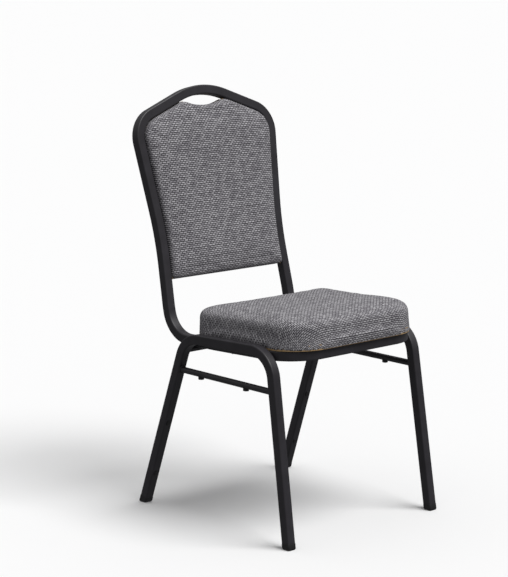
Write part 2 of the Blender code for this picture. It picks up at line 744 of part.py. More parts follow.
def back_outline(inset):
    """Pad outline: beside the hoop, level below, hollowed on top by the hand hole."""
    path = hoop_half()
    away = TUBE / 2 + PAD_SIDE_GAP + inset
    side = []
    for k, point in enumerate(path):
        along = (path[min(k + 1, len(path) - 1)] - path[max(k - 1, 0)]).normalized()
        side.append(Vector((point.x - along.y * away, point.y + along.x * away)))
    low = BACK_BASE + PAD_BOTTOM_RISE + inset
    hollow = Vector((0, BACK_BASE + HAND_HOLE_RISE + HAND_HOLE_BEND))
    reach = HAND_HOLE_BEND + inset
    half = []
    for first, second in zip(side, side[1:]):
        if first.y < low < second.y:
            half.append(first.lerp(second, (low - first.y) / (second.y - first.y)))
        if second.y <= low:
            continue
        if (second - hollow).length > reach:
            half.append(second)
            continue
        near, far = 0.0, 1.0
        for _ in range(30):
            middle = (near + far) / 2
            outside = (first.lerp(second, middle) - hollow).length > reach
            near, far = (middle, far) if outside else (near, middle)
        half.append(first.lerp(second, near))
        break
    corner = half[-1] - hollow
    sweep = math.atan2(corner.x, -corner.y)
    for k in range(1, HAND_HOLE_STEPS):
        angle = sweep * (1 - k / HAND_HOLE_STEPS)
        half.append(hollow + reach * Vector((math.sin(angle), -math.cos(angle))))
    whole = half + [Vector((0, hollow.y - reach))] + [Vector((-p.x, p.y)) for p in half[::-1]]
    return [(point.x, point.y) for point in whole]


FACE_N = TUBE / 2 + PAD_EDGE_PROUD        # pad's outer face
TAB_N = -GAP - TAB_THICK / 2              # back tabs lie just behind the front board


def hoop_place(s):
    """Point and direction of the hoop's centre line at a height up the back."""
    path = hoop_half()
    for first, second in zip(path, path[1:]):
        if first.y <= s <= second.y:
            along = (second - first).normalized()
            return first.lerp(second, (s - first.y) / (second.y - first.y)), along
    raise ValueError("no place on the hoop at that height")


def back_fixings():
    """Name, place and turn of each tab welded inside the hoop."""
    for level, rise in zip(("lower", "upper"), BACK_TAB_RISES):
        point, along = hoop_place(BACK_BASE + rise)
        inwards = Vector((-along.y, along.x, 0))
        middle = point + inwards * (TUBE / 2 + GAP + BACK_TAB_REACH / 2)
        turn = math.atan2(-along.x, along.y)
        for side_name, side in (("left", 1), ("right", -1)):
            yield f"{side_name}_{level}", side * middle.x, middle.y, side * turn


def add_back_fixings(board):
    """Welded tabs and the screws that hold the front board to them from behind."""
    shank = BACK_SCREW / 2
    head = BACK_SCREW_HEAD / 2
    seat = TAB_N - TAB_THICK / 2 - GAP
    outline = screw_outline(shank, head, BACK_BOARD - SCREW_SHORT, seat, seat - BACK_SCREW_HEAD_HIGH)
    for name, x, s, turn in back_fixings():
        mesh = box_mesh("tab", (BACK_TAB_REACH, BACK_TAB_WIDTH, TAB_THICK))
        tab = add_piece(name + "_back_tab", mesh, STEEL, BACK, (x, s, TAB_N))
        tab.rotation_euler = (0, 0, turn)
        place = Matrix.Translation((x, s, 0))
        for piece, label in ((tab, "_tab_hole"), (board, "_pilot_hole")):
            drill = cylinder_mesh("drill", shank + HOLE_PLAY, DRILL)
            cut(piece, add_cutter(name + label, drill, BACK, place))
        add_turned(name + "_back_screw", outline, PLATED, BACK, place)


def add_back_clips(front_board, rear_board):
    """Plastic clips that hold the rear panel to the front board."""
    stem = CLIP_STEM / 2
    collar = CLIP_COLLAR / 2
    low = REAR_BOARD_N + REAR_BOARD
    tip = BACK_BOARD - CLIP_SHORT
    end = REAR_BOARD_N + CLIP_SHORT
    outline = [(0, tip), (stem * CLIP_TIP, tip), (stem, tip - CLIP_TIP_LONG), (stem, -GAP),
               (collar, -GAP), (collar, low + GAP), (stem, low + GAP), (stem, end), (0, end)]
    for side_name, side in (("left", 1), ("right", -1)):
        for level, rise in zip(("lower", "upper"), CLIP_RISES):
            place = Matrix.Translation((side * CLIP_X, BACK_BASE + rise, 0))
            name = f"{side_name}_{level}"
            for board, label in ((front_board, "_front_clip_hole"), (rear_board, "_rear_clip_hole")):
                drill = cylinder_mesh("drill", stem + HOLE_PLAY, DRILL)
                cut(board, add_cutter(name + label, drill, BACK, place))
            add_turned(name + "_panel_clip", outline, PLASTIC, BACK, place)


def flipped(slab, outline_height):
    """Turn a slab over so that its rounded face looks backwards."""
    for vert in slab.data.vertices:
        vert.co.z = outline_height - vert.co.z
    slab.data.flip_normals()
    return slab


def add_back():
    """Front pad and rear panel, each a board, foam and a fabric skin."""
    inner = FABRIC + GAP
    front_board = add_slab("back_board", back_outline(inner), 0, BACK_BOARD, PLY, BACK)
    add_slab("back_foam", back_outline(inner), BACK_BOARD + GAP, FACE_N - inner, FOAM, BACK,
             PAD_ROUND - inner)
    add_slab("back_cover", back_outline(0), 0, FACE_N, FABRIC_GREY, BACK, PAD_ROUND, FABRIC)

    inner = REAR_FABRIC + GAP
    rear_top = REAR_BOARD_N + REAR_BOARD
    foam_far = REAR_BOARD_N - GAP - REAR_FOAM
    face = foam_far - inner
    rear_board = add_slab("rear_panel_board", back_outline(inner), REAR_BOARD_N, rear_top, PLY, BACK)
    foam = add_slab("rear_panel_foam", back_outline(inner), 0, REAR_FOAM, FOAM, BACK,
                    REAR_ROUND - inner)
    flipped(foam, foam_far + REAR_FOAM)
    cover = add_slab("rear_panel_cover", back_outline(0), 0, rear_top - face, FABRIC_GREY, BACK,
                     REAR_ROUND, REAR_FABRIC)
    flipped(cover, rear_top)
    add_back_fixings(front_board)
    add_back_clips(front_board, rear_board)


add_leg_frames()
add_stretchers()
add_back_hoop()
add_front_hoop()
add_crossbar()
add_glides()
add_bumpers()
add_buttons()
add_seat_fixings()
add_seat()
add_back()
bpy.context.view_layer.update()
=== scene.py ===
"""Stacking chair: bent square-tube frame, foam seat and back in grey tweed.

Metres, +Z up, the sitter faces -Y and the sitter's left is +X. Each section makes one piece or
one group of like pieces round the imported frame.
"""
import math

import bmesh
import bpy
import numpy as np
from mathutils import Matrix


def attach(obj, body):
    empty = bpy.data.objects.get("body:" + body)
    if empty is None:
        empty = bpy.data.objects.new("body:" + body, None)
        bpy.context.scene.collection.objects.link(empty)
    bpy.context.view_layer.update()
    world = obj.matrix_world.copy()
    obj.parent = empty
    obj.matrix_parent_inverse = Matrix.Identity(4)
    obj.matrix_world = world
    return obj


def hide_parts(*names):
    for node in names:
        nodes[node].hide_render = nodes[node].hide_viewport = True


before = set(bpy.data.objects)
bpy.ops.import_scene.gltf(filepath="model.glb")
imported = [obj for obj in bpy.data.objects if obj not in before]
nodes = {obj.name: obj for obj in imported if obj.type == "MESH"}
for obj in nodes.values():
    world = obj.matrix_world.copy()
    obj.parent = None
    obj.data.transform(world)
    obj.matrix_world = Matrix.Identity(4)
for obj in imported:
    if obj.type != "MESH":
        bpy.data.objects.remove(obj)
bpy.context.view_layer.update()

# ---------------------------------------------------------------- the studio
# A seamless pale floor under an even white sky, with one big soft lamp high in front of the chair
# and to the sitter's left. The floor throws no light back up and shows in no reflection.

CAMERA_PLACE = (-2.9797, -3.2128, 1.3048)
CAMERA_TILT = math.radians(79.14)
CAMERA_TURN = math.radians(-41.97)
CAMERA_LENS = 120.4
CAMERA_SHIFT = (0.0076, 0.0354)
SKY_LOW = (0.30, 0.30, 0.31, 1.0)     # the sky at the horizon; it is white overhead
SKY_HIGH = (1.0, 1.0, 1.0, 1.0)
SKY_STRENGTH = 0.55
KEY_STRENGTH = 2.3
KEY_SOFTNESS = math.radians(38)
KEY_TURN = (math.radians(28), math.radians(12), 0.0)
FLOOR_REACH = 70.0
FLOOR_WHITE = 0.93


def linear(hex_colour):
    """An sRGB hex colour as linear red, green, blue and alpha."""
    channels = [int(hex_colour[k:k + 2], 16) / 255 for k in (1, 3, 5)]
    return [c / 12.92 if c <= 0.04045 else ((c + 0.055) / 1.055) ** 2.4 for c in channels] + [1.0]


def add_node(tree, kind, inputs=None, **settings):
    """Add a shader node with its settings; an input's value is a number, a colour or a socket."""
    node = tree.nodes.new("ShaderNode" + kind)
    for name, value in settings.items():
        setattr(node, name, value)
    for name, value in (inputs or {}).items():
        if isinstance(value, bpy.types.NodeSocket):
            tree.links.new(value, node.inputs[name])
        else:
            node.inputs[name].default_value = value
    return node


def new_material(name):
    """An empty node material with its Principled shader wired to the output."""
    material = bpy.data.materials.new(name)
    material.use_nodes = True
    return material, material.node_tree, material.node_tree.nodes["Principled BSDF"]


camera_data = bpy.data.cameras.new("camera")
camera_data.lens = CAMERA_LENS
camera_data.sensor_width = 36.0
camera_data.shift_x, camera_data.shift_y = CAMERA_SHIFT
camera_data.clip_end = 200.0
camera = bpy.data.objects.new("camera", camera_data)
camera.location = CAMERA_PLACE
camera.rotation_euler = (CAMERA_TILT, 0.0, CAMERA_TURN)
bpy.context.scene.collection.objects.link(camera)
bpy.context.scene.camera = camera
bpy.context.scene.view_settings.view_transform = "Standard"

world = bpy.data.worlds.new("white_sky")
world.use_nodes = True
bpy.context.scene.world = world
sky = world.node_tree
direction = add_node(sky, "TexCoord")
height = add_node(sky, "SeparateXYZ", {"Vector": direction.outputs["Generated"]})
grade = add_node(sky, "ValToRGB", {"Fac": height.outputs["Z"]})
grade.color_ramp.elements[0].color = SKY_LOW
grade.color_ramp.elements[1].color = SKY_HIGH
sky.links.new(grade.outputs["Color"], sky.nodes["Background"].inputs["Color"])
sky.nodes["Background"].inputs["Strength"].default_value = SKY_STRENGTH

key_data = bpy.data.lights.new("key_lamp", "SUN")
key_data.energy = KEY_STRENGTH
key_data.angle = KEY_SOFTNESS
key = bpy.data.objects.new("key_lamp", key_data)
key.rotation_euler = KEY_TURN
bpy.context.scene.collection.objects.link(key)

floor_mesh = bpy.data.meshes.new("floor")
floor_mesh.from_pydata([(-FLOOR_REACH, -FLOOR_REACH, 0), (FLOOR_REACH, -FLOOR_REACH, 0),
                        (FLOOR_REACH, FLOOR_REACH, 0), (-FLOOR_REACH, FLOOR_REACH, 0)], [],
                       [(0, 1, 2, 3)])
floor = bpy.data.objects.new("floor", floor_mesh)
bpy.context.scene.collection.objects.link(floor)
floor_paint, tree, shader = new_material("white_floor_paint")
shader.inputs["Base Color"].default_value = (FLOOR_WHITE, FLOOR_WHITE, FLOOR_WHITE, 1.0)
shader.inputs["Roughness"].default_value = 0.9
shader.inputs["Specular IOR Level"].default_value = 0.0
floor_mesh.materials.append(floor_paint)
floor.visible_diffuse = False
floor.visible_glossy = False

# ---------------------------------------------------------------- side leg frames
# Each is one length of 22 mm square steel tube, cold-bent twice to an upside-down U, degreased and
# sprayed with black powder. They lean in by a degree, and the seat is welded between them.

TUBE = 0.0222
TUBE_CORNER = 0.0032
TUBE_WALL = 0.0012
CORNER_STEPS = 6
FLAT_END = 0.0008            # a point this far in from each corner keeps the flat flat
BEND_STEP = math.radians(1.5)
GAP = 0.0003
FOOT_SPREAD = 0.2250
LEG_SPLAY = math.radians(1.0)
FRONT_FOOT_Y = -0.2784
FRONT_RAKE = math.radians(8.83)
REAR_FOOT_Y = 0.2175
REAR_RAKE = math.radians(19.36)
LEG_BEND = 0.065
BAR_RISE = 0.0117
SEAT_HEIGHT = 0.4073
SEAT_PITCH = math.radians(2.12)
GLIDE_HEIGHT = 0.012


def unit(vectors):
    """Vectors divided by their lengths."""
    vectors = np.asarray(vectors, float)
    return vectors / np.linalg.norm(vectors, axis=-1, keepdims=True)


def plane(origin, across, up):
    """A working plane: its origin, and the directions across it, up it and out of it."""
    across, up = unit(across), unit(up)
    return np.array(origin, float), np.array([across, up, np.cross(across, up)])


def in_world(working_plane, points):
    """Points of a plane moved into the world: the origin plus each coordinate along its axis."""
    origin, axes = working_plane
    return origin + np.asarray(points, float) @ axes


def bent_line(corners, bends):
    """Straight runs joined by arcs that touch both runs.

    A point of an arc is its start plus radius times (sine of the turn along the first run, one
    less cosine of the turn towards the second).
    """
    corners = np.asarray(corners, float)
    points = [corners[:1]]
    for before, corner, after, bend in zip(corners, corners[1:], corners[2:], bends):
        into, out = unit(corner - before), unit(after - corner)
        turn = math.acos(into @ out)
        start = corner - into * bend * math.tan(turn / 2)
        inward = unit(out - into * (out @ into))
        angle = np.linspace(0, turn, 2 + int(turn / BEND_STEP))[:, None]
        points.append(start + bend * (into * np.sin(angle) + inward * (1 - np.cos(angle))))
    points.append(corners[-1:])
    return np.concatenate(points)


def rounded_square(side, corner):
    """Outline of a square whose corners are quarter circles, turned four times by 90 degrees."""
    flat = side / 2 - corner
    angle = np.linspace(0, math.pi / 2, CORNER_STEPS + 1)
    arc = np.stack([flat + corner * np.cos(angle), flat + corner * np.sin(angle)], axis=1)
    quarter = np.concatenate([[(side / 2, flat - FLAT_END)], arc, [(flat - FLAT_END, side / 2)]])
    turns = [quarter @ np.array([[c, s], [-s, c]]) for c, s in ((1, 0), (0, 1), (-1, 0), (0, -1))]
    return np.concatenate(turns)


def carry(path, outline, side):
    """Rings of an outline carried along a path, square to its direction at each point.

    side is the outline's first axis at the start, and follows the bends without twisting.
    """
    ahead = unit(np.diff(path, axis=0))
    along = unit(np.concatenate([ahead[:1], ahead[1:] + ahead[:-1], ahead[-1:]]))
    sides = np.empty_like(along)
    for k, direction in enumerate(along):
        side = unit(side - direction * (side @ direction))
        sides[k] = side
    ups = np.cross(along, sides)
    return path[:, None] + outline[:, :1] * sides[:, None] + outline[:, 1:] * ups[:, None]


def add_piece(name, mesh, material, stands_for=(), sharp=35):
    """Show a mesh as a piece of the chair, its faces turned outwards and shaded smooth."""
    shape = bmesh.new()
    shape.from_mesh(mesh)
    inside_out = shape.calc_volume(signed=True) < 0
    shape.free()
    if inside_out:
        mesh.flip_normals()
    mesh.shade_smooth()
    mesh.set_sharp_from_angle(angle=math.radians(sharp))
    mesh.materials.append(material)
    piece = bpy.data.objects.new(name, mesh)
    bpy.context.scene.collection.objects.link(piece)
    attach(piece, "root")
    if stands_for:
        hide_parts(*stands_for)
    return piece


def ring_mesh(name, rings, joined=False):
    """Quads between neighbouring rings. The end rings are capped, or joined to each other."""
    count, around = rings.shape[:2]
    index = np.arange(count * around).reshape(count, around)
    caps = [] if joined else [index[0][::-1].tolist(), index[-1].tolist()]
    if joined:
        index = np.concatenate([index, index[:1]])
    turned = np.roll(index, -1, axis=1)
    quads = np.stack([index[:-1], turned[:-1], turned[1:], index[1:]], axis=-1).reshape(-1, 4)
    mesh = bpy.data.meshes.new(name)
    mesh.from_pydata(rings.reshape(-1, 3).tolist(), [], quads.tolist() + caps)
    mesh.update()
    return mesh


def tube_mesh(name, path, side):
    """A hollow square tube: the outer rings out along the path and the inner rings back."""
    outer = carry(path, rounded_square(TUBE, TUBE_CORNER), side)
    inner = carry(path, rounded_square(TUBE - 2 * TUBE_WALL, TUBE_CORNER - TUBE_WALL), side)
    return ring_mesh(name, np.concatenate([outer, inner[::-1]]), joined=True)


def seat_rail_z(y):
    """Height of the seat rails' centre line."""
    return SEAT_HEIGHT - math.tan(SEAT_PITCH) * y


def leg_x(z):
    """Distance of a leg frame's centre plane from the middle of the chair."""
    return FOOT_SPREAD - math.tan(LEG_SPLAY) * z


# Black polyester powder coat, about 80 microns on degreased steel: satin, with a fine grain of
# about 0.4 mm from the flow of the powder, drawn twice as coarse so that it shows.
POWDER_BLACK = "#2b292d"
POWDER_GREY = "#333136"
POWDER_GRAIN = 0.0008
POWDER_DRIFT = 30.0          # slow changes of shade to a metre
powder_coat, tree, shader = new_material("black_powder_coat")
place = add_node(tree, "TexCoord")
cloud = add_node(tree, "TexNoise", {"Vector": place.outputs["Object"], "Scale": POWDER_DRIFT,
                                    "Detail": 4.0})
shade = add_node(tree, "ValToRGB", {"Fac": cloud.outputs["Fac"]})
shade.color_ramp.elements[0].position = 0.35
shade.color_ramp.elements[1].position = 0.70
shade.color_ramp.elements[0].color = linear(POWDER_BLACK)
shade.color_ramp.elements[1].color = linear(POWDER_GREY)
grain = add_node(tree, "TexNoise", {"Vector": place.outputs["Object"], "Scale": 1 / POWDER_GRAIN,
                                    "Detail": 2.0})
gloss = add_node(tree, "MapRange", {"Value": grain.outputs["Fac"], "To Min": 0.34, "To Max": 0.50})
bump = add_node(tree, "Bump", {"Height": grain.outputs["Fac"], "Strength": 0.35,
                               "Distance": 0.00012})
tree.links.new(shade.outputs["Color"], shader.inputs["Base Color"])
tree.links.new(gloss.outputs["Result"], shader.inputs["Roughness"])
tree.links.new(bump.outputs["Normal"], shader.inputs["Normal"])
shader.inputs["IOR"].default_value = 1.5

LEG_PLANES = {}
for side_name, side in (("left", 1), ("right", -1)):
    LEG_PLANES[side_name] = plane((side * FOOT_SPREAD, 0, 0), (0, 1, 0),
                                  (-side * math.sin(LEG_SPLAY), 0, math.cos(LEG_SPLAY)))


def leg_knee(foot_y, slope):
    """Where a raked leg's line meets the top bar's, in the leg frame's plane."""
    lean = 1 / math.cos(LEG_SPLAY)
    height = (seat_rail_z(foot_y) + BAR_RISE) * lean / (1 + math.tan(SEAT_PITCH) * slope * lean)
    return np.array([foot_y + slope * height, height, 0.0])


FRONT_KNEE = leg_knee(FRONT_FOOT_Y, math.tan(FRONT_RAKE))
REAR_KNEE = leg_knee(REAR_FOOT_Y, -math.tan(REAR_RAKE))
LEG_ENDS = {}
for place_name, foot_y, knee in (("front", FRONT_FOOT_Y, FRONT_KNEE), ("rear", REAR_FOOT_Y, REAR_KNEE)):
    foot = np.array([foot_y, 0.0, 0.0])
    up = unit(knee - foot)
    slack = TUBE / 2 * math.tan(math.acos(up[1]))
    LEG_ENDS[place_name] = (foot + up * (GLIDE_HEIGHT + slack), up)
for side_name, leg_plane in LEG_PLANES.items():
    line = bent_line([LEG_ENDS["front"][0], FRONT_KNEE, REAR_KNEE, LEG_ENDS["rear"][0]],
                     [LEG_BEND, LEG_BEND])
    mesh = tube_mesh(side_name + "_leg_tube", in_world(leg_plane, line), leg_plane[1][2])
    add_piece(side_name + "_leg_tube", mesh, powder_coat, [side_name + "_leg_frame"])

# ---------------------------------------------------------------- stretchers and crossbar
# Round steel bars of 14 mm, welded all round at both ends before the frame is coated: a stretcher
# between each pair of legs, and a crossbar under the seat rails between the leg frames' rear bends.

BAR = 0.0143
BAR_SIDES = 40
STRETCHER_Z = SEAT_HEIGHT - 0.0678
CROSSBAR_BACK = 0.0107
BEAD = 0.0017                # radius of a fillet weld
BEAD_STEPS = 10
TOE_STEPS = 72               # points round a weld, enough for its ripples
BAR_STATIONS = 12
RIPPLE_PITCH = 0.0022        # one ripple for each puddle of the weld


def circle(radius, sides):
    """Outline of a circle: radius times cosine and sine."""
    angle = np.linspace(0, 2 * math.pi, sides, endpoint=False)
    return radius * np.stack([np.cos(angle), np.sin(angle)], axis=1)


def bead_mesh(name, path, radius, loop):
    """A weld bead: a circle carried along a path, its radius rippled by a sine of the distance.

    An open bead narrows to nothing at both ends, as the square root of one less t to the tenth.
    """
    if loop:
        path = np.concatenate([path, path[:1]])
    steps = np.linalg.norm(np.diff(path, axis=0), axis=1)
    distance = np.concatenate([[0], np.cumsum(steps)])
    ripples = max(3, round(distance[-1] / RIPPLE_PITCH))
    swell = 1 + 0.14 * np.sin(2 * math.pi * ripples * distance / distance[-1])
    if loop:
        path, swell = path[:-1], swell[:-1]
        along = unit(np.roll(path, -1, axis=0) - np.roll(path, 1, axis=0))
        sides = unit(path - path.mean(axis=0))
    else:
        t = 2 * distance / distance[-1] - 1
        swell = swell * np.sqrt(1.002 - t ** 10)
        along = unit(np.gradient(path, axis=0))
        sides = np.cross(along, (0.0, 0.0, 1.0))
    sides = unit(sides - along * (sides * along).sum(axis=1, keepdims=True))
    ups = np.cross(along, sides)
    outline = circle(radius, BEAD_STEPS)
    rings = (path[:, None] + (swell[:, None, None] * outline[:, :1]) * sides[:, None]
             + (swell[:, None, None] * outline[:, 1:]) * ups[:, None])
    return ring_mesh(name, rings, joined=loop)


def add_bead(name, path, radius=BEAD, loop=True):
    """Show a weld bead under the same powder coat as the tubes."""
    add_piece(name, bead_mesh(name, path, radius, loop), powder_coat, sharp=60)


section = circle(BAR / 2, BAR_SIDES)
toe = circle(BAR / 2 + BEAD * 0.35, TOE_STEPS)
t = np.linspace(0, 1, BAR_STATIONS)[:, None, None]
for side_name, leg_plane in LEG_PLANES.items():
    ends = []
    for outline in (section, toe):
        heights = STRETCHER_Z + outline[:, 0]
        front = (FRONT_FOOT_Y + math.tan(FRONT_RAKE) * heights
                 + (TUBE / 2 + GAP) / math.cos(FRONT_RAKE))
        rear = (REAR_FOOT_Y - math.tan(REAR_RAKE) * heights
                - (TUBE / 2 + GAP) / math.cos(REAR_RAKE))
        ends.append([np.stack([y, heights, outline[:, 1]], axis=1) for y in (front, rear)])
    (bar_front, bar_rear), (toe_front, toe_rear) = ends
    rings = in_world(leg_plane, bar_front * (1 - t) + bar_rear * t)
    add_piece(side_name + "_stretcher_bar", ring_mesh(side_name + "_stretcher_bar", rings),
              powder_coat, [side_name + "_stretcher"])
    add_bead(side_name + "_stretcher_front_weld", in_world(leg_plane, toe_front))
    add_bead(side_name + "_stretcher_rear_weld", in_world(leg_plane, toe_rear))

crossbar_y = REAR_KNEE[0] + CROSSBAR_BACK
crossbar_z = (seat_rail_z(crossbar_y + BAR / 2) - TUBE / 2 / math.cos(SEAT_PITCH) - GAP - BAR / 2)
ends = []
for outline in (section, toe):
    heights = crossbar_z + outline[:, 1]
    inner_face = leg_x(heights) - TUBE / 2 / math.cos(LEG_SPLAY) - GAP
    ends.append([np.stack([x, crossbar_y + outline[:, 0], heights], axis=1)
                 for x in (-inner_face, inner_face)])
(bar_right, bar_left), (toe_right, toe_left) = ends
rings = bar_right * (1 - t) + bar_left * t
add_piece("crossbar", ring_mesh("crossbar", rings), powder_coat, ["rear_crossbar"])
add_bead("crossbar_left_weld", toe_left)
add_bead("crossbar_right_weld", toe_right)

# ---------------------------------------------------------------- back hoop and front hoop
# The back hoop is one tube: along the seat, up the back, over the crown and down again, with a
# slight waist. The front hoop closes the seat, butt-welded to it and ground. Both lie between the
# leg frames and are stitch-welded to their top bars.

RAIL_JOINT_Y = -0.070
SEAT_FRONT_Y = -0.2569
SEAT_CORNER = 0.080
BACK_LEAN = math.radians(12.48)
BACK_SEAT_Y = 0.1567
UPRIGHT_IN, UPRIGHT_RISE, UPRIGHT_BEND = 0.0075, 0.0663, 0.300
WAIST_IN, WAIST_RISE, WAIST_BEND = 0.0150, 0.2223, 0.850
SHOULDER_OUT, SHOULDER_RISE, SHOULDER_BEND = 0.0140, 0.4936, 0.064
CROWN_RISE, CROWN_BEND = 0.5731, 0.200
REAR_BEND = 0.071
FLARE_START_Y, FLARE_END_Y, FLARE_BEND = 0.080, 0.0, 0.300
STITCH_YS = (-0.150, 0.010)  # middles of the stitch welds under each rail
STITCH = 0.032

RAIL_TOP_Z = seat_rail_z(SEAT_FRONT_Y) + TUBE / 2
RAIL_X = leg_x(RAIL_TOP_Z) - TUBE - GAP
UPRIGHT_X = RAIL_X - UPRIGHT_IN
BACK_BASE = SEAT_HEIGHT / math.cos(BACK_LEAN)
back_plane = plane((0, BACK_SEAT_Y - SEAT_HEIGHT * math.tan(BACK_LEAN), 0), (1, 0, 0),
                   (0, math.sin(BACK_LEAN), math.cos(BACK_LEAN)))
seat_plane = plane((0, 0, SEAT_HEIGHT), (1, 0, 0),
                   (0, math.cos(SEAT_PITCH), -math.sin(SEAT_PITCH)))


def back_corners():
    """Corners of half the hoop in the plane of the back, from the seat up to the crown."""
    return np.array([(UPRIGHT_X, BACK_BASE + UPRIGHT_RISE, 0),
                     (RAIL_X - WAIST_IN, BACK_BASE + WAIST_RISE, 0),
                     (RAIL_X + SHOULDER_OUT, BACK_BASE + SHOULDER_RISE, 0),
                     (0, BACK_BASE + CROWN_RISE, 0)])


def on_rail(x, y):
    """A point at the height of the seat rails' centre lines."""
    return (x, y, seat_rail_z(y))


knee_y = BACK_SEAT_Y / (1 + math.tan(BACK_LEAN) * math.tan(SEAT_PITCH))
half = np.concatenate([[on_rail(RAIL_X, RAIL_JOINT_Y + GAP / 2), on_rail(RAIL_X, FLARE_END_Y),
                        on_rail(UPRIGHT_X, FLARE_START_Y), on_rail(UPRIGHT_X, knee_y)],
                       in_world(back_plane, back_corners())])
bends = [FLARE_BEND, FLARE_BEND, REAR_BEND, UPRIGHT_BEND, WAIST_BEND, SHOULDER_BEND]
hoop_line = bent_line(np.concatenate([half, half[-2::-1] * (-1, 1, 1)]),
                      bends + [CROWN_BEND] + bends[::-1])
add_piece("back_hoop_tube", tube_mesh("back_hoop_tube", hoop_line, np.array([1.0, 0, 0])),
          powder_coat, ["back_hoop"])

joint = (RAIL_JOINT_Y - GAP / 2) / math.cos(SEAT_PITCH)
front = SEAT_FRONT_Y / math.cos(SEAT_PITCH)
front_line = bent_line([(-RAIL_X, joint, 0), (-RAIL_X, front, 0), (RAIL_X, front, 0),
                        (RAIL_X, joint, 0)], [SEAT_CORNER, SEAT_CORNER])
mesh = tube_mesh("front_hoop_tube", in_world(seat_plane, front_line), np.array([1.0, 0, 0]))
add_piece("front_hoop_tube", mesh, powder_coat, ["seat_front_hoop"])

for side_name, side in (("left", 1), ("right", -1)):
    around = rounded_square(TUBE + 2 * GAP, TUBE_CORNER)
    ring = np.stack([side * RAIL_X + around[:, 0], np.full(len(around), RAIL_JOINT_Y),
                     seat_rail_z(RAIL_JOINT_Y) + around[:, 1]], axis=1)
    add_bead(side_name + "_butt_weld", ring, radius=0.0006)
    for place_name, middle in zip(("front", "rear"), STITCH_YS):
        y = np.linspace(middle - STITCH / 2, middle + STITCH / 2, 60)
        z = seat_rail_z(y) - TUBE / 2 + BAR_RISE
        x = leg_x(z) - TUBE / 2 - GAP
        bead = np.stack([side * x, y, z - BEAD * 0.4], axis=1)
        add_bead(f"{side_name}_{place_name}_stitch_weld", bead, loop=False)

# ---------------------------------------------------------------- foot glides
# Black nylon glides, injection moulded: a plug is pushed into each leg, and its cap is cut level
# with the floor at the leg's rake, with an eased edge round the sole.

GLIDE_PROUD = 0.0004
GLIDE_PLUG = 0.020
GLIDE_CHAMFER = 0.0025
GLIDE_SOLE = 0.86            # width of the sole as a share of the cap's
GLIDE_TIP = 0.88             # width of the plug's tip as a share of the plug's
GLIDE_TAPER = 0.004
CAP_EASE = ((0.0, 0.0012), (0.0002, 0.0004), (0.0007, 0.0))    # below the tube, narrower by
SOLE_EASE = ((1.0, GLIDE_CHAMFER + 0.0006), (0.985, GLIDE_CHAMFER),
             (GLIDE_SOLE + 0.02, 0.0004), (GLIDE_SOLE, 0.0))    # share of the cap, height

# Nylon, injection moulded, with the fine sparked grain of the mould: dark, and a little duller on
# its worn high spots.
NYLON_BLACK = "#1d1c1e"
NYLON_SPARKS = 1600.0        # pits of the mould's grain to a metre
black_nylon, tree, shader = new_material("black_moulded_nylon")
place = add_node(tree, "TexCoord")
spark = add_node(tree, "TexNoise", {"Vector": place.outputs["Object"], "Scale": NYLON_SPARKS,
                                    "Detail": 3.0})
gloss = add_node(tree, "MapRange", {"Value": spark.outputs["Fac"], "To Min": 0.32, "To Max": 0.52})
bump = add_node(tree, "Bump", {"Height": spark.outputs["Fac"], "Strength": 0.4, "Distance": 0.0001})
tree.links.new(gloss.outputs["Result"], shader.inputs["Roughness"])
tree.links.new(bump.outputs["Normal"], shader.inputs["Normal"])
shader.inputs["Base Color"].default_value = linear(NYLON_BLACK)
shader.inputs["IOR"].default_value = 1.53


def leg_section(centre, side, corner, across, deep):
    """A cap's or plug's outline, square to the leg, about a point of its centre line."""
    outline = rounded_square(side, corner)
    return centre + outline[:, :1] * across + outline[:, 1:] * deep


def to_height(ring, direction, height):
    """A ring slid along a direction until it lies level at a height."""
    return ring + direction * ((height - ring[:, 2:]) / direction[2])


for side_name, leg_plane in LEG_PLANES.items():
    for place_name, (end, up) in LEG_ENDS.items():
        axis = unit(up @ leg_plane[1])
        across = leg_plane[1][2]
        start = in_world(leg_plane, end) - axis * GAP
        deep = np.cross(axis, across)
        cap = TUBE + 2 * GLIDE_PROUD
        plug = TUBE - 2 * TUBE_WALL - 4 * GAP
        tip = start + axis * GLIDE_PLUG
        rings = np.stack([
            leg_section(tip, plug * GLIDE_TIP, TUBE_CORNER / 2, across, deep),
            leg_section(tip - axis * GLIDE_TAPER, plug, TUBE_CORNER / 2, across, deep),
            leg_section(start, plug, TUBE_CORNER / 2, across, deep),
            *[leg_section(start - axis * below, cap - narrower, TUBE_CORNER, across, deep)
              for below, narrower in CAP_EASE],
            *[to_height(leg_section(start, cap * share, TUBE_CORNER, across, deep), axis, height)
              for share, height in SOLE_EASE]])
        name = f"{side_name}_{place_name}_foot_glide"
        add_piece(name, ring_mesh(name, rings), black_nylon,
                  [f"{side_name}_{place_name}_glide"], sharp=40)

# ---------------------------------------------------------------- stacking bumpers
# Black nylon pads pressed up round the underside of each stretcher. A stacked chair rests on the
# one below it through these.

BUMPER_YS = (-0.1320, 0.0195)
BUMPER = 0.0136
BUMPER_LOW = -BAR / 2 - 0.0048
BUMPER_EDGE = 0.0012
BUMPER_CENTRE = 0.03         # share of the radius at which the pad's faces close
GROOVE_RINGS, EDGE_RINGS, SOLE_RINGS = 8, 6, 4

